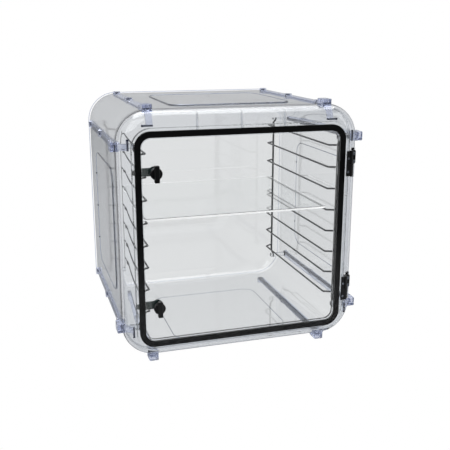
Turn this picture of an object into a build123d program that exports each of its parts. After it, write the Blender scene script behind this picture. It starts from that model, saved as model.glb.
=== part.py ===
"""Clear plastic desiccator cabinet: square moulded shell, gasketed door, two quarter-turn latches,
two hinges, a pair of wire shelf racks, one clear shelf and eight corner rails, of which the bottom
two act as feet."""

import os

from build123d import *

os.makedirs("parts", exist_ok=True)

# Overall sizes, mm. +X is to the right seen from the front, -Y is the door side, +Z is up.
BODY = 415.0  # outside width and height of the shell
BODY_D = 376.0  # seat of the gasket to the back face
WALL = 4.0
CORNER_R = 55.0
FRONT_R = 25.0
BACK_R = 25.0
FOOT_H = 9.0  # how far the rail lugs stand off the shell
MID_Z = FOOT_H + BODY / 2

GASKET_T = 4.0
GASKET_GAP = 0.3
GASKET_OUT = 360.0
GASKET_W = 10.0
GASKET_R = 26.0

DOOR = 371.0
DOOR_T = 6.0
DOOR_R = 32.0
DOOR_X = -2.0
DOOR_Z = MID_Z - 4.0
OPENING = 336.0
OPENING_R = 15.0

COLLAR_T = 1.0
DISC_T = 6.7
BAR_T = 5.0
PROUD = GASKET_T + DOOR_T + COLLAR_T + 0.3 + DISC_T + BAR_T

SEAT_Y = -(BODY_D + PROUD) / 2 + PROUD  # gasket seat on the front frame
DOOR_BACK_Y = SEAT_Y - GASKET_T
DOOR_FRONT_Y = DOOR_BACK_Y - DOOR_T
BACK_Y = SEAT_Y + BODY_D
SEAM_Y = SEAT_Y + 32.0
SPIGOT_T = 1.8
SPIGOT_L = 6.0

PANEL_W = 214.0
PANEL_Y0 = SEAT_Y + 63.0
PANEL_Y1 = SEAT_Y + 271.0
PANEL_R = 24.0
PANEL_H = 1.2

# Corner rails
RAIL_W = 14.0
RAIL_T = 2.5
STRAP_W = 10.5
TOE_T = 4.0
TOE_H = 3.4
TOE_OUT = 5.5  # how far the toe runs past the strap, away from the middle of the wall
PIN_D = 2.4  # cross pin in the toe
BOSS_D = 14.0
BOSS_Y = (SEAT_Y + 47.0, SEAT_Y + 185.5, SEAT_Y + 324.0)
BOSS_H = (5.0, 5.0)
REAR_BOSS_H = 5.5
SCREW_HEAD_D = 7.6
SCREW_D = 3.6
LUG_W = 16.0
LUG_Y0 = SEAT_Y + 10.0
LUG_Y1 = SEAT_Y + 35.0

# Hinges and latches
LATCH_Z = (DOOR_Z + 3.0 + 112.0, DOOR_Z + 3.0 - 112.0)
HINGE_Z = (DOOR_Z + 1.0 + 112.0, DOOR_Z + 1.0 - 112.0)
HINGE_L = 43.0
KNUCKLE_R = 3.5
PIN_R = 1.5
HINGE_X = DOOR_X + DOOR / 2 + 4.0
HINGE_Y = DOOR_BACK_Y - 4.0
SPLIT_Z = -1.5  # between the frame's knuckle above and the door's below, from the hinge's middle
LEAF_T = 3.0
FRAME_SCREW_X = 195.2
FRAME_SCREW_DZ = (15.5, 2.5)
DOOR_SCREW_X = DOOR_X + DOOR / 2 - 2.3
DOOR_SCREW_DZ = (9.0, -14.0)
PAD_X1 = 199.0
PAD_L = 50.0
LATCH_X = DOOR_X - 148.0
DISC_R = 9.6
SPINDLE_R = 4.0
BUSH_R = 5.5
PAWL_T = 3.4
PAWL_Y = SEAT_Y + 4.8
PAWL_L = 35.5

# Wire racks and shelf
WIRE_R = 1.6
UPRIGHT_R = 2.0
UPRIGHT_X = 174.5
RUNG_X = 159.0
RACK_Y0 = SEAT_Y + 14.0
RACK_Y1 = SEAT_Y + 322.0
RUNGS = 8
RUNG_PITCH = 38.0
RUNG_TOP_Z = DOOR_Z + 142.2
SHELF_RUNG = 3
SHELF_W = 325.0
SHELF_T = 3.5
SHELF_Y0 = SEAT_Y + 24.0
SHELF_Y1 = SEAT_Y + 308.0
CLIP_W = 9.0


def face_plane(x, y, z):
    """Plane whose normal is +Y."""
    return Plane(origin=(x, y, z), x_dir=(1, 0, 0), z_dir=(0, 1, 0))


def slab(w, h, r, y0, y1, x=0.0, z=MID_Z):
    """Rounded rectangle seen from the front, from y0 back to y1."""
    return extrude(face_plane(x, y0, z) * RectangleRounded(w, h, r), amount=y1 - y0)


def block(x0, x1, y0, y1, z0, z1):
    middle = Pos((x0 + x1) / 2, (y0 + y1) / 2, (z0 + z1) / 2)
    return middle * Box(x1 - x0, y1 - y0, z1 - z0)


def rod_y(x, z, r, y0, y1):
    return extrude(face_plane(x, y0, z) * Circle(r), amount=y1 - y0)


def rod_x(y, z, r, x0, x1):
    return Pos((x0 + x1) / 2, y, z) * Rot(0, 90, 0) * Cylinder(r, x1 - x0)


def rod_z(x, y, r, z0, z1):
    return Pos(x, y, (z0 + z1) / 2) * Cylinder(r, z1 - z0)


def tub(grow, y0, y1, front_r, back_r):
    """The shell's outline, grown by grow, with its front and back rims rounded."""
    size = BODY + 2 * grow
    solid = slab(size, size, CORNER_R + grow, y0, y1)
    rims = solid.edges().group_by(Axis.Y)
    solid = fillet(rims[0], front_r)
    rims = solid.edges().group_by(Axis.Y)
    return fillet(rims[-1], back_r)


OUTER = tub(0.0, SEAT_Y, BACK_Y, FRONT_R, BACK_R)
INNER = tub(-WALL, SEAT_Y + WALL, BACK_Y - WALL, FRONT_R - WALL, BACK_R - WALL)


def turned(shape, quarter_turns):
    """Turn about the cabinet's own front-to-back centre line."""
    centre = Pos(0, 0, MID_Z)
    return centre * Rot(0, 90 * quarter_turns, 0) * centre.inverse() * shape


def stiffener():
    """Shallow raised panel on the top wall."""
    middle = Pos(0, (PANEL_Y0 + PANEL_Y1) / 2, MID_Z + BODY / 2 - 1.0)
    face = RectangleRounded(PANEL_W, PANEL_Y1 - PANEL_Y0, PANEL_R)
    panel = extrude(middle * face, amount=1.0 + PANEL_H)
    return fillet(panel.edges().group_by(Axis.Z)[-1], 1.0)


def rack_clips(sides, y):
    """Brackets moulded on the side walls, each with a hole for one end of a rack's upright."""
    clips = []
    for side in sides:
        for z in (RUNG_TOP_Z + 14.0, RUNG_TOP_Z - (RUNGS - 1) * RUNG_PITCH - 24.0):
            tip = DOOR_X + side * (UPRIGHT_X - 1.5)
            root = side * (BODY / 2 - WALL + 1.0)
            x0 = min(tip, root)
            x1 = max(tip, root)
            bar = block(x0, x1, y - CLIP_W / 2, y + CLIP_W / 2, z - 3.5, z + 3.5)
            hole = rod_z(DOOR_X + side * (UPRIGHT_X + 4.0), y, UPRIGHT_R + 0.05, z - 4.0, z + 4.0)
            clips.append(bar - hole)
    return clips


def body_shell():
    shell = OUTER - INNER
    shell = shell & block(-300, 300, SEAM_Y, BACK_Y + 5, -50, 500)
    for k in range(4):
        shell = shell + (turned(stiffener(), k) - INNER)
    step = BODY - 2 * WALL + 2 * SPIGOT_T + 0.2
    shell = shell - slab(step, step, CORNER_R - WALL + SPIGOT_T, SEAM_Y - 1, SEAM_Y + SPIGOT_L)
    for y in (PANEL_Y0 + 5.0, PANEL_Y1 - 55.0):
        shell = shell + Pos(0, y, MID_Z + BODY / 2 + PANEL_H / 2) * Cylinder(2.5, PANEL_H + 1.6)
    for clip in rack_clips((-1, 1), RACK_Y1):
        shell = shell + clip
    return screw_holes(shell)


def front_frame():
    frame = OUTER - INNER
    frame = frame & block(-300, 300, SEAT_Y - 5, SEAM_Y, -50, 500)
    width = BODY - 2 * WALL
    radius = CORNER_R - WALL
    spigot = slab(width + 2 * SPIGOT_T, width + 2 * SPIGOT_T, radius + SPIGOT_T, SEAM_Y - 2, SEAM_Y + 5.8)
    frame = frame + (spigot - slab(width, width, radius, SEAM_Y - 3, SEAM_Y + 8))
    frame = frame - slab(OPENING, OPENING, OPENING_R, SEAT_Y - 1, SEAT_Y + 20, DOOR_X, DOOR_Z)
    for z in HINGE_Z:
        pad = block(DOOR_X + DOOR / 2 + 1.0, PAD_X1, SEAT_Y, SEAT_Y + 22, z - PAD_L / 2, z + PAD_L / 2)
        frame = frame + (pad - INNER)
    for x in (DOOR_X - 75.0, DOOR_X, DOOR_X + 75.0):
        top = MID_Z + BODY / 2 - 2.0
        rib = block(x - 0.8, x + 0.8, SEAT_Y + 3, SEAT_Y + 16, DOOR_Z + OPENING / 2 + 3, top)
        frame = frame + (rib & OUTER)
    for clip in rack_clips((-1, 1), RACK_Y0):
        frame = frame + (clip & OUTER)
    for z in HINGE_Z:
        for dz in FRAME_SCREW_DZ:
            frame = frame - rod_y(FRAME_SCREW_X, z + dz, 1.5, SEAT_Y - 1, SEAT_Y + 6.5)
    return screw_holes(frame)


def rail(x, end, rear):
    """Top rail at x: strip with three bosses, a lug with a slot, and a strap down the front that ends
    in a toe with a cross pin."""
    top = MID_Z + BODY / 2
    skin = tub(RAIL_T, SEAT_Y - RAIL_T, BACK_Y + RAIL_T, FRONT_R + RAIL_T, BACK_R + RAIL_T)
    half = RAIL_W / 2
    strip = block(x - half, x + half, LUG_Y0 + 10, BOSS_Y[2], top - 3, top + 8)
    half = STRAP_W / 2
    strap = block(x - half, x + half, SEAT_Y - 9, LUG_Y1, MID_Z + end, top + 8)
    piece = (strip & skin) + (strap & skin)
    toe_z = MID_Z + end
    piece = piece + block(x - half, x + half + TOE_OUT, SEAT_Y - TOE_T, SEAT_Y + 8, toe_z, toe_z + TOE_H)
    middle = Pos(x, (LUG_Y0 + LUG_Y1) / 2, top - 8)
    lug = extrude(middle * RectangleRounded(LUG_W, LUG_Y1 - LUG_Y0, 3.0), amount=8 + FOOT_H)
    piece = piece + lug
    for y, h in zip(BOSS_Y, BOSS_H + (rear,)):
        piece = piece + rod_z(x, y, BOSS_D / 2, top - 3, top + h)
    piece = piece - OUTER
    slot = Pos(x, (LUG_Y0 + LUG_Y1) / 2 + 1, top + 2.5) * SlotOverall(11.0, 7.5)
    piece = piece - extrude(slot, amount=FOOT_H)
    for y in BOSS_Y:
        piece = piece - rod_z(x, y, SCREW_HEAD_D / 2 + 0.4, top + 2.0, top + 12)
        piece = piece - rod_z(x, y, SCREW_D / 2, top - 4, top + 4)
    return piece - rod_x(SEAT_Y - TOE_T / 2, toe_z + TOE_H / 2, PIN_D / 2, x - 20, x + 20)


def rail_pin(x, end):
    """Cross pin in the toe of a top rail at x, with its head on the outer end."""
    y = SEAT_Y - TOE_T / 2
    z = MID_Z + end + TOE_H / 2
    x1 = x + STRAP_W / 2 + TOE_OUT
    pin = rod_x(y, z, PIN_D / 2, x - STRAP_W / 2, x1)
    head = rod_x(y, z, 1.9, x1, x1 + 2.0)
    return pin + fillet(head.edges().group_by(Axis.X)[-1], 0.7)


def rail_screw(x, y):
    """Button-head screw of a top rail at x, with a hex socket."""
    top = MID_Z + BODY / 2
    head = rod_z(x, y, SCREW_HEAD_D / 2, top + 2.0, top + 4.2)
    head = fillet(head.edges().group_by(Axis.Z)[-1], 1.0)
    shank = rod_z(x, y, SCREW_D / 2, top - 2.5, top + 2.5)
    socket = Pos(x, y, top + 2.8) * RegularPolygon(1.5, 6)
    return (head + shank) - extrude(socket, amount=3)


def on_wall(shape, quarter_turns, flip):
    """Move a shape made for a top rail at +x to any of the eight rails."""
    if flip:
        shape = mirror(shape, Plane.YZ)
    return turned(shape, quarter_turns)


def screw_holes(shell):
    """Blind holes for the rail screws in the shell or the frame."""
    top = MID_Z + BODY / 2
    for turns, flip, x, end, rear in RAILS.values():
        for y in BOSS_Y:
            hole = rod_z(x, y, SCREW_D / 2, top - 2.6, top + 1)
            shell = shell - on_wall(hole, turns, flip)
    return shell


# Quarter turns from the top wall, mirrored or not, distance from the middle of the wall to the
# rail, height of the strap's end above the middle of the cabinet, and height of the rear boss.
# The rails of the top and bottom walls stand a little to the left of the shell's middle.
RAILS = {
    "top_right": (0, False, 148.8, 183.0, REAR_BOSS_H),
    "top_left": (0, True, 156.6, 183.0, REAR_BOSS_H),
    "right_upper": (1, True, 152.0, 189.0, REAR_BOSS_H),
    "right_lower": (1, False, 152.0, 189.0, REAR_BOSS_H),
    "bottom_left": (2, False, 156.6, 191.0, FOOT_H),
    "bottom_right": (2, True, 148.8, 191.0, FOOT_H),
    "left_upper": (3, False, 152.0, 190.0, REAR_BOSS_H),
    "left_lower": (3, True, 152.0, 190.0, REAR_BOSS_H),
}


def door_panel():
    door = slab(DOOR, DOOR, DOOR_R, DOOR_FRONT_Y, DOOR_BACK_Y, DOOR_X, DOOR_Z)
    door = chamfer(door.edges().group_by(Axis.Y)[0], 0.8)
    for z in LATCH_Z:
        door = door - rod_y(LATCH_X, z, BUSH_R, DOOR_FRONT_Y - 1, DOOR_BACK_Y + 1)
    for z in HINGE_Z:
        for dz in DOOR_SCREW_DZ:
            door = door - rod_y(DOOR_SCREW_X, z + dz, 1.0, DOOR_FRONT_Y - 1, DOOR_FRONT_Y + 4)
    return door


def door_gasket():
    inner = GASKET_OUT - 2 * GASKET_W
    y1 = SEAT_Y - GASKET_GAP
    ring = slab(GASKET_OUT, GASKET_OUT, GASKET_R, DOOR_BACK_Y, y1, DOOR_X, DOOR_Z)
    hole = slab(inner, inner, GASKET_R - GASKET_W, DOOR_BACK_Y - 1, y1 + 1, DOOR_X, DOOR_Z)
    return ring - hole


def hinge_frame_leaf(z):
    """Upper half of the hinge: a plate on the frame's pad and the knuckle in front of it."""
    z0 = z + SPLIT_Z + 0.15
    z1 = z + HINGE_L / 2
    leaf = block(HINGE_X, PAD_X1 - 0.2, SEAT_Y - LEAF_T, SEAT_Y, z0, z1)
    outer = leaf.edges().filter_by(Axis.Y).group_by(Axis.X)[-1]
    leaf = fillet(outer, 2.5)
    leaf = leaf + rod_z(HINGE_X, HINGE_Y, KNUCKLE_R, z0, z1)
    leaf = leaf + block(HINGE_X, HINGE_X + KNUCKLE_R, HINGE_Y, SEAT_Y - 1, z0, z1)
    leaf = leaf - rod_z(HINGE_X, HINGE_Y, PIN_R, z - HINGE_L, z + HINGE_L)
    for dz in FRAME_SCREW_DZ:
        leaf = leaf - rod_y(FRAME_SCREW_X, z + dz, 1.5, SEAT_Y - 4, SEAT_Y + 1)
    return leaf


def hinge_door_leaf(z):
    """Full-length plate on the door's edge, with the lower knuckle."""
    edge = DOOR_X + DOOR / 2
    z0 = z - HINGE_L / 2
    z1 = z + SPLIT_Z - 0.15
    leaf = block(edge - 5.0, edge, DOOR_FRONT_Y - 2.2, DOOR_FRONT_Y, z0, z + HINGE_L / 2)
    leaf = leaf + block(edge - 1, HINGE_X, DOOR_FRONT_Y - 1.5, DOOR_FRONT_Y, z0, z1)
    leaf = leaf + rod_z(HINGE_X, HINGE_Y, KNUCKLE_R, z0, z1)
    leaf = leaf - rod_z(HINGE_X, HINGE_Y, PIN_R + 0.05, z - HINGE_L, z + HINGE_L)
    for dz in DOOR_SCREW_DZ:
        leaf = leaf - rod_y(DOOR_SCREW_X, z + dz, 1.0, DOOR_FRONT_Y - 5, DOOR_FRONT_Y + 1)
    return leaf


def hinge_pin(z):
    return rod_z(HINGE_X, HINGE_Y, PIN_R, z - HINGE_L / 2, z + HINGE_L / 2)


def small_screw(x, z, y, head_r, shank_r, head_t, length):
    """Round-head screw driven along +Y into a face at y."""
    head = rod_y(x, z, head_r, y - head_t, y)
    head = fillet(head.edges().group_by(Axis.Y)[0], head_t * 0.6)
    slot = block(x - head_r, x + head_r, y - head_t - 1, y - head_t * 0.6, z - 0.35, z + 0.35)
    return (head - slot) + rod_y(x, z, shank_r, y, y + length)


def hinge_frame_screws():
    screws = []
    for z in HINGE_Z:
        for dz in FRAME_SCREW_DZ:
            screws.append(small_screw(FRAME_SCREW_X, z + dz, SEAT_Y - LEAF_T, 2.7, 1.5, 1.6, 9.0))
    return screws


def hinge_door_screws():
    screws = []
    for z in HINGE_Z:
        for dz in DOOR_SCREW_DZ:
            screws.append(small_screw(DOOR_SCREW_X, z + dz, DOOR_FRONT_Y - 2.2, 1.9, 1.0, 0.8, 6.0))
    return screws


def latch_bush(z):
    """Flanged sleeve in the door that the spindle turns in."""
    bush = rod_y(LATCH_X, z, BUSH_R, DOOR_FRONT_Y, DOOR_BACK_Y)
    bush = bush + rod_y(LATCH_X, z, 7.5, DOOR_FRONT_Y - COLLAR_T, DOOR_FRONT_Y)
    bush = bush + rod_y(LATCH_X, z, 7.5, DOOR_BACK_Y, DOOR_BACK_Y + 1.2)
    return bush - rod_y(LATCH_X, z, SPINDLE_R + 0.05, DOOR_FRONT_Y - 3, DOOR_BACK_Y + 3)


KNOB_Y = DOOR_FRONT_Y - COLLAR_T - 0.3


def latch_knob(z):
    """Round boss with an upright finger bar across it."""
    disc = rod_y(LATCH_X, z, DISC_R, KNOB_Y - DISC_T, KNOB_Y)
    disc = fillet(disc.edges().group_by(Axis.Y)[0], 1.5)
    y0 = KNOB_Y - DISC_T - BAR_T
    bar = extrude(face_plane(LATCH_X, y0, z) * Rot(0, 0, 90) * SlotOverall(27.0, 8.0), amount=BAR_T + 2)
    bar = fillet(bar.edges().group_by(Axis.Y)[0], 2.0)
    return (disc + bar) - rod_y(LATCH_X, z, SPINDLE_R, KNOB_Y - 5, KNOB_Y + 1)


def latch_spindle(z):
    stem = rod_y(LATCH_X, z, SPINDLE_R, KNOB_Y - 5, PAWL_Y + PAWL_T)
    return stem + rod_y(LATCH_X, z, 2.0, PAWL_Y + PAWL_T, PAWL_Y + PAWL_T + 4)


def latch_pawl(z):
    """Flat tongue that reaches behind the lip of the front frame, pointing to -X."""
    hub = rod_y(LATCH_X, z, 8.5, PAWL_Y, PAWL_Y + PAWL_T)
    tip = LATCH_X - PAWL_L
    outline = [
        (LATCH_X, z + 6.5),
        (tip + 12, z + 6.5),
        (tip, z + 3.0),
        (tip, z - 3.0),
        (tip + 12, z - 6.5),
        (LATCH_X, z - 6.5),
    ]
    corners = [(x, PAWL_Y, h) for x, h in outline]
    wire = Polyline(*corners, close=True)
    arm = extrude(make_face(wire), amount=PAWL_T, dir=(0, 1, 0))
    return (hub + arm) - rod_y(LATCH_X, z, SPINDLE_R, PAWL_Y - 1, PAWL_Y + PAWL_T + 1)


def latch_nut(z):
    plane = face_plane(LATCH_X, PAWL_Y + PAWL_T, z)
    nut = extrude(plane * RegularPolygon(4.6, 6), amount=3.2)
    return nut - rod_y(LATCH_X, z, 2.0, PAWL_Y, PAWL_Y + PAWL_T + 5)


def bent_wire(points, radius, wire_r):
    """Round wire along a polyline whose corners are bent to the given radius."""
    path = FilletPolyline(*points, radius=radius)
    start = Plane(origin=path @ 0, z_dir=path % 0)
    return sweep(start * Circle(wire_r), path=path)


def rack_upright(side, y):
    """Upright with both ends cranked outwards into the moulded brackets."""
    x = DOOR_X + side * UPRIGHT_X
    out = x + side * 4.0
    top = RUNG_TOP_Z + 17.5
    low = RUNG_TOP_Z - (RUNGS - 1) * RUNG_PITCH - 27.5
    points = [(out, y, low), (out, y, low + 8.0), (x, y, low + 15.0), (x, y, top - 15.0)]
    points += [(out, y, top - 8.0), (out, y, top)]
    return bent_wire(points, 2.5, UPRIGHT_R)


def rack_rung(side, z):
    """Rung that stands in from the uprights and returns to each of them."""
    x_out = DOOR_X + side * (UPRIGHT_X - UPRIGHT_R - 0.95)
    x_in = DOOR_X + side * RUNG_X
    points = [(x_out, RACK_Y0, z), (x_in, RACK_Y0 + 5.0, z)]
    points += [(x_in, RACK_Y1 - 9.0, z), (x_out, RACK_Y1, z)]
    return bent_wire(points, 3.0, WIRE_R)


def shelf():
    z0 = RUNG_TOP_Z - SHELF_RUNG * RUNG_PITCH + WIRE_R + 0.3
    middle = Pos(DOOR_X, (SHELF_Y0 + SHELF_Y1) / 2, z0)
    plate = extrude(middle * RectangleRounded(SHELF_W, SHELF_Y1 - SHELF_Y0, 8.0), amount=SHELF_T)
    return chamfer(plate.edges().group_by(Axis.Z)[-1], 0.6)


def save(node, shape):
    """Write one node; a list is a group of separate solids."""
    if isinstance(shape, list):
        shape = Compound(children=shape)
    shape.label = node
    export_step(shape, "parts/" + node + ".step")


def main():
    save("body_shell", body_shell())
    save("front_frame", front_frame())
    walls = ("top", "right", "bottom", "left")
    screws = [[], [], [], []]
    pins = [[], [], [], []]
    for name, (turns, flip, x, end, rear) in RAILS.items():
        save("rail_" + name, on_wall(rail(x, end, rear), turns, flip))
        screws[turns] += [on_wall(rail_screw(x, y), turns, flip) for y in BOSS_Y]
        pins[turns].append(on_wall(rail_pin(x, end), turns, flip))
    for turns, wall in enumerate(walls):
        save("rail_screws_" + wall, screws[turns])
        save("rail_pins_" + wall, pins[turns])
    save("door_panel", door_panel())
    save("door_gasket", door_gasket())
    for name, z in zip(("upper", "lower"), HINGE_Z):
        save("hinge_frame_leaf_" + name, hinge_frame_leaf(z))
        save("hinge_door_leaf_" + name, hinge_door_leaf(z))
        save("hinge_pin_" + name, hinge_pin(z))
    for name, z in zip(("upper", "lower"), LATCH_Z):
        save("latch_bush_" + name, latch_bush(z))
        save("latch_knob_" + name, latch_knob(z))
        save("latch_spindle_" + name, latch_spindle(z))
        save("latch_pawl_" + name, latch_pawl(z))
        save("latch_nut_" + name, latch_nut(z))
    save("hinge_frame_screws", hinge_frame_screws())
    save("hinge_door_screws", hinge_door_screws())
    for name, side in (("left", -1), ("right", 1)):
        save("rack_uprights_" + name, [rack_upright(side, y) for y in (RACK_Y0, RACK_Y1)])
        rungs = [rack_rung(side, RUNG_TOP_Z - k * RUNG_PITCH) for k in range(RUNGS)]
        save("rack_rungs_" + name, rungs)
    save("shelf", shelf())


main()
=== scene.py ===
import math

import bmesh
import bpy
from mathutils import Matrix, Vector


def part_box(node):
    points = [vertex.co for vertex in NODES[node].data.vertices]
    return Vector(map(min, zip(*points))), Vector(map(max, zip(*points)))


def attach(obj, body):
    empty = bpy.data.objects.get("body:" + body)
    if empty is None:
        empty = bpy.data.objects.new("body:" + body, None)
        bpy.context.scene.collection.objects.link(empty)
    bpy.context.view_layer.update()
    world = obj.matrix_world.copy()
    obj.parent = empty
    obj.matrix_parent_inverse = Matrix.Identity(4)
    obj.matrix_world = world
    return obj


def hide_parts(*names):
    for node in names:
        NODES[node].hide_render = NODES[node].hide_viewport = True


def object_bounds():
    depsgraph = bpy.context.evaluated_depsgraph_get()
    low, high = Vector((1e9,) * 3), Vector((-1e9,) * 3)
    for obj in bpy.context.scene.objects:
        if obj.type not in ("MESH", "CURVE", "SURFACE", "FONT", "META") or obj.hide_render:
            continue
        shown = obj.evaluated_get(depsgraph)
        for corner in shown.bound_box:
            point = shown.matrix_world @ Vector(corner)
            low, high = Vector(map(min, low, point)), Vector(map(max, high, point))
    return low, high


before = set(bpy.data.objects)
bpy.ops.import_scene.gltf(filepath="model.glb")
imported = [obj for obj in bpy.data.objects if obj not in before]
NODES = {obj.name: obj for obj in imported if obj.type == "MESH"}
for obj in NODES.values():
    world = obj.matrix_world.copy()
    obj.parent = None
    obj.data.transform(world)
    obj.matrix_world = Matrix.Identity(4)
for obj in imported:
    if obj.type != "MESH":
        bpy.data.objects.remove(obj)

MM = 0.001
CAD_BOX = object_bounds()


# ---------------------------------------------------------------- tools for the finishes

def linear(hex_code):
    """sRGB hex to linear RGBA."""
    out = []
    for k in (0, 2, 4):
        c = int(hex_code[k:k + 2], 16) / 255
        out.append(c / 12.92 if c <= 0.04045 else ((c + 0.055) / 1.055) ** 2.4)
    return (*out, 1.0)


def per_metre(size_mm):
    """Scale of a pattern whose features are size_mm long."""
    return 1 / (size_mm * MM)


def add(tree, kind, settings=None, links=None):
    """Add a node; settings are attributes or inputs, links are input: (node, output)."""
    node = tree.nodes.new(kind)
    for key, value in (settings or {}).items():
        if isinstance(key, str) and hasattr(node, key) and key not in node.inputs:
            setattr(node, key, value)
        else:
            node.inputs[key].default_value = value
    for key, (source, socket) in (links or {}).items():
        tree.links.new(source.outputs[socket], node.inputs[key])
    return node


def new_material(name):
    material = bpy.data.materials.new(name)
    material.use_nodes = True
    material.node_tree.nodes.clear()
    return material, material.node_tree


# ---------------------------------------------------------------- clear finishes

POLYCARBONATE = 1.58  # refractive index
ACRYLIC = 1.49
HAZE_MM = 35  # size of the patches that a wiping cloth leaves
HAZE = 0.02  # how much roughness they add


def wiped_haze(tree, place, clean):
    """Roughness that wanders from clean plastic to the faint haze left by wiping."""
    patches = add(tree, "ShaderNodeTexNoise",
                  {"Scale": per_metre(HAZE_MM), "Detail": 3.0, "Roughness": 0.65},
                  {"Vector": (place, "Object")})
    return add(tree, "ShaderNodeMapRange",
               {"From Min": 0.35, "From Max": 0.75, "To Min": clean, "To Max": clean + HAZE},
               {"Value": (patches, "Fac")})


def let_lamps_through(tree, surface, socket, shade):
    """Output node of a clear finish, whose shadow is only as dark as its shade colour."""
    through = add(tree, "ShaderNodeBsdfTransparent", {"Color": linear(shade)})
    rays = add(tree, "ShaderNodeLightPath")
    mix = add(tree, "ShaderNodeMixShader", {},
              {0: (rays, "Is Shadow Ray"), 1: (surface, socket), 2: (through, "BSDF")})
    return add(tree, "ShaderNodeOutputMaterial", {}, {"Surface": (mix, "Shader")})


RIPPLE_DEPTH = 0.6 * MM


def clear_plastic(name, tint, slant, shade, ior, roughness, ripple_mm, ripple, clarity=1.0):
    """Clear plastic, with its output node. slant is the tint for a slanting look, where the way
    through the wall is longer. ripple_mm is the length of the slow waves that the mould leaves and
    ripple their strength. shade is the colour of the light in its shadow. clarity is the share of light that
    passes unscattered."""
    material, tree = new_material(name)
    place = add(tree, "ShaderNodeTexCoord")
    waves = add(tree, "ShaderNodeTexNoise",
                {"Scale": per_metre(ripple_mm), "Detail": 1.0, "Roughness": 0.4},
                {"Vector": (place, "Object")})
    bump = add(tree, "ShaderNodeBump", {"Strength": ripple, "Distance": RIPPLE_DEPTH},
               {"Height": (waves, "Fac")})
    haze = wiped_haze(tree, place, roughness)
    facing = add(tree, "ShaderNodeLayerWeight", {"Blend": 0.5})
    longer = add(tree, "ShaderNodeMapRange", {"From Min": 0.35, "From Max": 0.9},
                 {"Value": (facing, "Facing")})
    colour = add(tree, "ShaderNodeMix", {"data_type": "RGBA", 6: linear(tint), 7: linear(slant)},
                 {0: (longer, 0)})
    body = add(tree, "ShaderNodeBsdfPrincipled", {"Transmission Weight": clarity, "IOR": ior},
               {"Base Color": (colour, 2), "Roughness": (haze, 0), "Normal": (bump, "Normal")})
    output = let_lamps_through(tree, body, "BSDF", shade)
    return material, tree, output


def moulded_shell():
    """Injection-moulded polycarbonate, water-clear: slightly wavy, so that edges and reflections
    wander a little, and greyer where the eye looks along a wall."""
    return clear_plastic("moulded_polycarbonate_shell", tint="F6F7F8", slant="B4B8BE", shade="FAFBFC",
                         ior=POLYCARBONATE, roughness=0.015, ripple_mm=60, ripple=0.08)[0]


def moulded_rim():
    """The same polycarbonate in the thicker front rim: flatter, with a darker cast on its rounding."""
    return clear_plastic("moulded_polycarbonate_rim", tint="EDEFF2", slant="A2A8B4", shade="FAFBFC",
                         ior=POLYCARBONATE, roughness=0.01, ripple_mm=80, ripple=0.03)[0]


RAIL_DEPTH_TINT = "7C92C6"
RAIL_DEPTH_DENSITY = 26.0  # per metre


def moulded_rail():
    """Polycarbonate of a bluer grade: thin straps look lavender and thick lugs a deeper blue."""
    material, tree, output = clear_plastic(
        "moulded_polycarbonate_rail", tint="ECEFF9", slant="CDD6EC", shade="F4F6FC",
        ior=POLYCARBONATE, roughness=0.03, ripple_mm=20, ripple=0.12, clarity=0.88)
    inside = add(tree, "ShaderNodeVolumeAbsorption",
                 {"Color": linear(RAIL_DEPTH_TINT), "Density": RAIL_DEPTH_DENSITY})
    tree.links.new(inside.outputs["Volume"], output.inputs["Volume"])
    return material


def moulded_bead():
    """Solid bead of polycarbonate: it shows as a thin blue-grey line on the clear wall."""
    return clear_plastic("moulded_polycarbonate_bead", tint="CDD4E6", slant="A7B1CC", shade="E6EAF4",
                         ior=POLYCARBONATE, roughness=0.02, ripple_mm=20, ripple=0.05)[0]


def cast_door():
    """Cast acrylic sheet, flat and polished: almost invisible, with a green-blue cast when slanted."""
    return clear_plastic("cast_acrylic_door", tint="FCFDFD", slant="E0EAEE", shade="FCFDFD",
                         ior=ACRYLIC, roughness=0.0, ripple_mm=200, ripple=0.01)[0]


SAW_MARK_MM = 4
SAW_MARK_DEPTH = 0.05 * MM
# Painted glow: emission on the sawn edges stands in for the light that runs inside the sheet and leaves at
# its edges.
PAINTED_EDGE_GLOW = 0.45  # light that runs inside the sheet and leaves at its edges


def cast_shelf():
    """Cast acrylic sheet: the faces are clear, and the sawn edges scatter light and carry a painted glow, so
    they look white.
    """
    material, tree = new_material("cast_acrylic_shelf")
    place = add(tree, "ShaderNodeTexCoord")
    sides = add(tree, "ShaderNodeSeparateXYZ", {}, {"Vector": (place, "Normal")})
    upright = add(tree, "ShaderNodeMath", {"operation": "ABSOLUTE"}, {0: (sides, "Z")})
    edge = add(tree, "ShaderNodeMath", {"operation": "LESS_THAN", 1: 0.5}, {0: (upright, 0)})
    haze = wiped_haze(tree, place, 0.0)
    marks = add(tree, "ShaderNodeTexNoise",
                {"Scale": per_metre(SAW_MARK_MM), "Detail": 2.0, "Roughness": 0.6},
                {"Vector": (place, "Object")})
    scratch = add(tree, "ShaderNodeBump", {"Strength": 0.4, "Distance": SAW_MARK_DEPTH},
                  {"Height": (marks, "Fac")})
    face = add(tree, "ShaderNodeBsdfPrincipled",
               {"Base Color": linear("FCFDFD"), "Transmission Weight": 1.0, "IOR": ACRYLIC},
               {"Roughness": (haze, 0)})
    # The sawn edges: rough and half clear, with a painted glow from emission.
    sawn = add(tree, "ShaderNodeBsdfPrincipled",
               {"Base Color": linear("FFFFFF"), "Transmission Weight": 0.35, "IOR": ACRYLIC,
                "Roughness": 0.45, "Emission Color": linear("FFFFFF"), "Emission Strength": PAINTED_EDGE_GLOW},
               {"Normal": (scratch, "Normal")})
    whole = add(tree, "ShaderNodeMixShader", {}, {0: (edge, 0), 1: (face, "BSDF"), 2: (sawn, "BSDF")})
    let_lamps_through(tree, whole, "Shader", "FCFDFD")
    return material


# ---------------------------------------------------------------- opaque finishes

PATCH = 25  # patches of wear are this many times longer than the grain
GLOSS_SPREAD = 0.12


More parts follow.
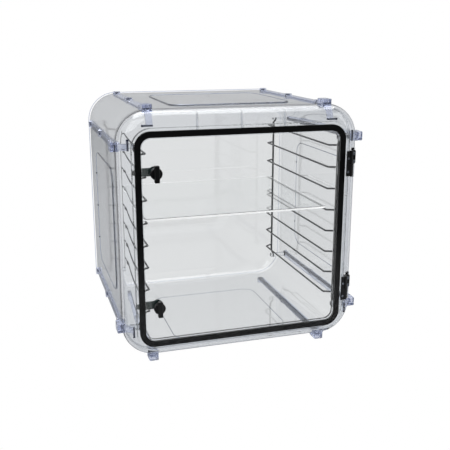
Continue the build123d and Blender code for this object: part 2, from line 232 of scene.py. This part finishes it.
def grained(name, colour, worn, roughness, grain_mm, grain_depth_mm, metallic=0.0):
    """Opaque finish: a fine grain breaks up gloss and surface, and larger patches the colour."""
    material, tree = new_material(name)
    place = add(tree, "ShaderNodeTexCoord")
    grain = add(tree, "ShaderNodeTexNoise",
                {"Scale": per_metre(grain_mm), "Detail": 3.0, "Roughness": 0.6},
                {"Vector": (place, "Object")})
    patch = add(tree, "ShaderNodeTexNoise", {"Scale": per_metre(grain_mm * PATCH), "Detail": 2.0},
                {"Vector": (place, "Object")})
    tone = add(tree, "ShaderNodeMix", {"data_type": "RGBA", 6: linear(colour), 7: linear(worn)},
               {0: (patch, "Fac")})
    gloss = add(tree, "ShaderNodeMapRange",
                {"To Min": roughness - GLOSS_SPREAD, "To Max": roughness + GLOSS_SPREAD},
                {"Value": (grain, "Fac")})
    bump = add(tree, "ShaderNodeBump", {"Strength": 0.6, "Distance": grain_depth_mm * MM},
               {"Height": (grain, "Fac")})
    body = add(tree, "ShaderNodeBsdfPrincipled", {"Metallic": metallic},
               {"Base Color": (tone, 2), "Roughness": (gloss, 0), "Normal": (bump, "Normal")})
    add(tree, "ShaderNodeOutputMaterial", {}, {"Surface": (body, "BSDF")})
    return material


SHELL = moulded_shell()
FRAME = moulded_rim()
RAIL = moulded_rail()
BEAD = moulded_bead()
DOOR = cast_door()
SHELF = cast_shelf()
# Extruded sponge rubber: dead black and matt, with open pores.
RUBBER = grained("sponge_rubber_black", "060607", "111214", 0.62, grain_mm=1.2, grain_depth_mm=0.12)
# Moulded nylon: black with a low satin sheen and a fine spark-eroded grain.
NYLON = grained("moulded_nylon_black", "0B0B0C", "151617", 0.42, grain_mm=0.8, grain_depth_mm=0.04)
# The same nylon rubbed smoother by fingers.
KNOB = grained("moulded_nylon_knob", "080809", "131415", 0.36, grain_mm=0.8, grain_depth_mm=0.03)
# Glass-filled nylon: green-black where light reaches it.
PAWL = grained("glass_filled_nylon_pawl", "10201F", "1B302E", 0.45, grain_mm=1.0, grain_depth_mm=0.05)
# Steel wire dipped in black plastic: smooth and half glossy.
WIRE = grained("plastic_dipped_wire", "17181A", "24262A", 0.34, grain_mm=1.5, grain_depth_mm=0.03)
# Blackened steel: dark blue-grey spots in the clear rails.
SCREW = grained("blackened_steel", "161C2E", "232B45", 0.35, grain_mm=0.6, grain_depth_mm=0.02,
                metallic=0.7)
# Zinc-plated steel: grey heads that catch the light on the black hinges.
ZINC = grained("zinc_plated_steel", "8A909B", "A6ACB6", 0.28, grain_mm=0.5, grain_depth_mm=0.01,
               metallic=0.9)
# Drawn steel: plain bright metal, hardly seen.
STEEL = grained("drawn_steel", "77797D", "8C8E92", 0.30, grain_mm=0.5, grain_depth_mm=0.01, metallic=1.0)

# How each node's name starts, and its finish. The first line that fits holds.
FINISH = (
    ("body_shell", SHELL), ("front_frame", FRAME),
    ("rail_screws", SCREW), ("rail_pins", SCREW), ("rail_", RAIL),
    ("door_panel", DOOR), ("door_gasket", RUBBER),
    ("hinge_pin", STEEL), ("hinge_frame_screws", ZINC), ("hinge_door_screws", ZINC), ("hinge_", NYLON),
    ("latch_knob", KNOB), ("latch_bush", NYLON), ("latch_pawl", PAWL),
    ("latch_nut", STEEL), ("latch_spindle", STEEL),
    ("rack_", WIRE), ("shelf", SHELF),
)

for name, node in NODES.items():
    for start, material in FINISH:
        if name.startswith(start):
            node.data.materials.clear()
            node.data.materials.append(material)
            break


# ---------------------------------------------------------------- tools for the added pieces

def rounded_loop(width, height, radius, steps=10):
    """Points round a rectangle with rounded corners, centred on 0, 0."""
    points = []
    for quarter, (sx, sy) in enumerate(((1, 1), (-1, 1), (-1, -1), (1, -1))):
        cx, cy = sx * (width / 2 - radius), sy * (height / 2 - radius)
        for k in range(steps + 1):
            a = math.radians(90) * (quarter + k / steps)
            points.append((cx + radius * math.cos(a), cy + radius * math.sin(a)))
    return points


def skin(bm, ring, after, smooth=False):
    """Faces between two rings with the same number of points."""
    for j in range(len(ring)):
        i = (j + 1) % len(ring)
        bm.faces.new((ring[j], ring[i], after[i], after[j])).smooth = smooth


def shown(name, bm, material):
    """Finish a mesh and put it in the scene."""
    bmesh.ops.recalc_face_normals(bm, faces=bm.faces)
    mesh = bpy.data.meshes.new(name)
    bm.to_mesh(mesh)
    bm.free()
    mesh.materials.append(material)
    piece = bpy.data.objects.new(name, mesh)
    bpy.context.collection.objects.link(piece)
    return piece


# ---------------------------------------------------------------- moulded beads

BEAD_R = 0.7 * MM
BEAD_SIDES = 8
BEAD_OUT = 0.4 * MM  # how far the middle of the rear bead stands off the wall
REAR_INSET = 7 * MM  # from the back of the shell to the rear bead
SHELL_R = 55 * MM
SHELL_STEPS = 24

# The raised panel on each wall, at its rounded shoulder.
PANEL_W, PANEL_L, PANEL_R = 213 * MM, 207 * MM, 23.5 * MM
PANEL_H = 1.1 * MM
PANEL_BACK = 63.5 * MM  # from the gasket to the panel's near edge

BACKWARDS = Vector((0, 1, 0))
WALLS = (("top", Vector((0, 0, 1))), ("right", Vector((1, 0, 0))),
         ("bottom", Vector((0, 0, -1))), ("left", Vector((-1, 0, 0))))

rim_low, rim_high = (Vector(corner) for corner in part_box("front_frame"))
shell_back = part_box("body_shell")[1][1]
gasket_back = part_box("door_gasket")[1][1]
width = rim_high.x - rim_low.x
centre_z = (rim_low.z + rim_high.z) / 2
panel_y = gasket_back + PANEL_BACK + PANEL_L / 2


def bead(name, path, across):
    """Round bead along a closed path that lies in the plane square to `across`."""
    bm = bmesh.new()
    rings = []
    for k, point in enumerate(path):
        along = (path[(k + 1) % len(path)] - path[k - 1]).normalized()
        out = along.cross(across)
        ring = []
        for j in range(BEAD_SIDES):
            a = 2 * math.pi * j / BEAD_SIDES
            ring.append(bm.verts.new(point + BEAD_R * (math.cos(a) * out + math.sin(a) * across)))
        rings.append(ring)
    for ring, after in zip(rings, rings[1:] + rings[:1]):
        skin(bm, ring, after, smooth=True)
    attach(shown(name, bm, BEAD), "cabinet")


def panel_beads():
    """A bead round the raised panel of each wall."""
    for wall, outwards in WALLS:
        middle = Vector((0, panel_y, centre_z)) + outwards * (width / 2 + PANEL_H)
        sideways = BACKWARDS.cross(outwards)
        path = [middle + u * sideways + v * BACKWARDS for u, v in rounded_loop(PANEL_W, PANEL_L, PANEL_R)]
        bead("panel_bead_" + wall, path, outwards)


def rear_bead():
    """A bead round the whole shell near its back edge."""
    across = width + 2 * BEAD_OUT
    outline = rounded_loop(across, across, SHELL_R + BEAD_OUT, SHELL_STEPS)
    path = [Vector((x, shell_back - REAR_INSET, centre_z + z)) for x, z in outline]
    bead("rear_bead", path, BACKWARDS)


panel_beads()
rear_bead()

# ---------------------------------------------------------------- side studs

# Height and radius in mm of a stud: flange, neck and domed head.
STUD_PROFILE = ((0.0, 0.0), (0.0, 1.8), (0.5, 1.8), (0.7, 1.4), (1.8, 1.3), (2.4, 0.9), (2.6, 0.0))
STUD_UP = (-64 * MM, 0.0, 64 * MM)
STUD_BACK = 1 * MM  # from the panel's rear edge to the middle of a stud
STUD_STEPS = 20


def studs(name, wall_x, side):
    """Three small round studs along the rear edge of a side panel."""
    bm = bmesh.new()
    y = panel_y + PANEL_L / 2 + STUD_BACK
    for up in STUD_UP:
        z = centre_z + up
        profile = [bm.verts.new((wall_x + side * h * MM, y + r * MM, z)) for h, r in STUD_PROFILE]
        edges = [bm.edges.new(pair) for pair in zip(profile, profile[1:])]
        bmesh.ops.spin(bm, geom=profile + edges, cent=(wall_x, y, z), axis=(1, 0, 0),
                       angle=2 * math.pi, steps=STUD_STEPS)
    bmesh.ops.remove_doubles(bm, verts=bm.verts, dist=0.01 * MM)
    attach(shown(name, bm, SCREW), "cabinet")


studs("side_studs_left", rim_low.x, -1)
studs("side_studs_right", rim_high.x, 1)

# ---------------------------------------------------------------- latch knobs

# Rings of the round part: how far in front of the knob's back, and radius, in mm.
DISC_RINGS = ((0.0, 8.9), (0.6, 9.6), (5.3, 9.6), (6.3, 9.2), (6.7, 8.3))
DISC_T = 6.7 * MM
DISC_STEPS = 48
BAR_WIDTH, BAR_LENGTH, BAR_CORNER = 7.8 * MM, 27 * MM, 1.2 * MM
BAR_BEVEL = 0.7 * MM
BAR_SUNK = 2 * MM


def stack(bm, loops):
    """Skin over a stack of closed loops with the same number of points, capped at both ends."""
    rings = [[bm.verts.new(point) for point in loop] for loop in loops]
    for ring, after in zip(rings, rings[1:]):
        skin(bm, ring, after)
    bm.faces.new(rings[0])
    bm.faces.new(rings[-1])


def knob(name, node, body):
    """Round knob with a square-ended finger bar across its face."""
    low, high = (Vector(corner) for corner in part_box(node))
    x, z = (low.x + high.x) / 2, (low.z + high.z) / 2
    back, front = high.y, low.y
    bm = bmesh.new()
    turns = [2 * math.pi * k / DISC_STEPS for k in range(DISC_STEPS)]
    stack(bm, [[(x + r * MM * math.cos(a), back - depth * MM, z + r * MM * math.sin(a)) for a in turns]
               for depth, r in DISC_RINGS])
    # The bar: how deep each of its loops lies, and how much smaller it is there.
    bar = ((back - DISC_T + BAR_SUNK, 0.0), (front + BAR_BEVEL, 0.0), (front, BAR_BEVEL))
    stack(bm, [[(x + u, y, z + v) for u, v in
                rounded_loop(BAR_WIDTH - 2 * shrink, BAR_LENGTH - 2 * shrink, BAR_CORNER, 3)]
               for y, shrink in bar])
    piece = shown(name, bm, KNOB)
    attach(piece, body)
    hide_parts(node)


knob("quarter_turn_knob_upper", "latch_knob_upper", "latch_upper")
knob("quarter_turn_knob_lower", "latch_knob_lower", "latch_lower")

# ---------------------------------------------------------------- studio

# Light levels of the plain studio: the backdrop seen directly, the same backdrop seen through the
# clear walls, and the room that the gloss reflects, dim in front of the door.
BACKDROP = 1.0
THROUGH = 0.84
ROOM_BACK = 0.60
ROOM_FRONT = 0.08
FLOOR_HALF = 4.0
DARK_FLOOR_Y, PALE_FLOOR_Y = -0.9, -0.3  # the floor fades from dark to pale between these

low, high = (Vector(corner) for corner in CAD_BOX)
middle = (low + high) / 2


def by_ray(tree, gloss, through, direct):
    """Mix by who looks: reflections and light, a look through clear plastic, or the open view."""
    rays = add(tree, "ShaderNodeLightPath")
    indirect = add(tree, "ShaderNodeMixShader", {},
                   {0: (rays, "Is Transmission Ray"), 1: (gloss, 0), 2: (through, 0)})
    return add(tree, "ShaderNodeMixShader", {},
               {0: (rays, "Is Camera Ray"), 1: (indirect, 0), 2: (direct, 0)})


def matt_floor_paint():
    """Matt white paint: white in the open view, darker in front of the door for reflections."""
    material, tree = new_material("matt_white_floor")
    place = add(tree, "ShaderNodeTexCoord")
    axes = add(tree, "ShaderNodeSeparateXYZ", {}, {"Vector": (place, "Object")})
    depth = add(tree, "ShaderNodeMapRange", {"From Min": DARK_FLOOR_Y, "From Max": PALE_FLOOR_Y},
                {"Value": (axes, "Y")})
    tone = add(tree, "ShaderNodeMix", {"data_type": "RGBA", 6: linear("3A3B3D"), 7: linear("B9BABC")},
               {0: (depth, 0)})
    paint = add(tree, "ShaderNodeBsdfDiffuse", {"Roughness": 0.5}, {"Color": (tone, 2)})
    pale = add(tree, "ShaderNodeEmission", {"Color": linear("FFFFFF"), "Strength": THROUGH})
    white = add(tree, "ShaderNodeEmission", {"Color": linear("FFFFFF"), "Strength": BACKDROP})
    mix = by_ray(tree, paint, pale, white)
    add(tree, "ShaderNodeOutputMaterial", {}, {"Surface": (mix, "Shader")})
    return material


def pale_floor():
    """Flat pale floor, wide enough for every view."""
    bm = bmesh.new()
    bm.faces.new([bm.verts.new((x * FLOOR_HALF, y * FLOOR_HALF, low.z))
                  for x, y in ((-1, -1), (1, -1), (1, 1), (-1, 1))])
    shown("studio_floor", bm, matt_floor_paint())


def softbox(name, place, size, watts):
    light = bpy.data.lights.new(name, "AREA")
    light.shape = "RECTANGLE"
    light.size, light.size_y = size
    light.energy = watts
    lamp = bpy.data.objects.new(name, light)
    lamp.location = place
    lamp.rotation_euler = (middle - Vector(place)).to_track_quat("-Z", "Y").to_euler()
    bpy.context.collection.objects.link(lamp)


def studio_world():
    """Pale room, dim in front of the door, so that black parts stay black."""
    world = bpy.data.worlds.new("studio")
    world.use_nodes = True
    tree = world.node_tree
    tree.nodes.clear()
    place = add(tree, "ShaderNodeTexCoord")
    axes = add(tree, "ShaderNodeSeparateXYZ", {}, {"Vector": (place, "Generated")})
    glow = add(tree, "ShaderNodeMapRange",
               {"From Min": -0.6, "From Max": 0.4, "To Min": ROOM_FRONT, "To Max": ROOM_BACK},
               {"Value": (axes, "Y")})
    room = add(tree, "ShaderNodeBackground", {"Color": linear("FCFDFF")}, {"Strength": (glow, 0)})
    pale = add(tree, "ShaderNodeBackground", {"Color": linear("FFFFFF"), "Strength": THROUGH})
    white = add(tree, "ShaderNodeBackground", {"Color": linear("FFFFFF"), "Strength": BACKDROP})
    mix = by_ray(tree, room, pale, white)
    add(tree, "ShaderNodeOutputWorld", {}, {"Surface": (mix, "Shader")})
    bpy.context.scene.world = world


pale_floor()
softbox("key_softbox", (-1.6, -1.6, 2.4), (2.6, 2.2), 26)
softbox("fill_softbox", (2.2, -1.4, 1.4), (1.8, 2.0), 14)
softbox("top_softbox", (0.2, 0.6, 2.6), (3.0, 2.0), 44)
studio_world()
bpy.context.scene.view_settings.view_transform = "Standard"

# ---------------------------------------------------------------- camera

CAMERA_FROM_GASKET = Vector((-0.3617, -1.0674, 0.3229))
CAMERA_DOWN = 15.15  # degrees
CAMERA_RIGHT = 17.14

lens = bpy.data.cameras.new("camera")
lens.lens = 56.0
lens.sensor_width = 36.0
lens.clip_end = 100
camera = bpy.data.objects.new("camera", lens)
gasket_low, gasket_high = (Vector(corner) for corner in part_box("door_gasket"))
camera.location = (gasket_low + gasket_high) / 2 + CAMERA_FROM_GASKET
camera.rotation_euler = (math.radians(90 - CAMERA_DOWN), 0.0, math.radians(-CAMERA_RIGHT))
bpy.context.collection.objects.link(camera)
bpy.context.scene.camera = camera
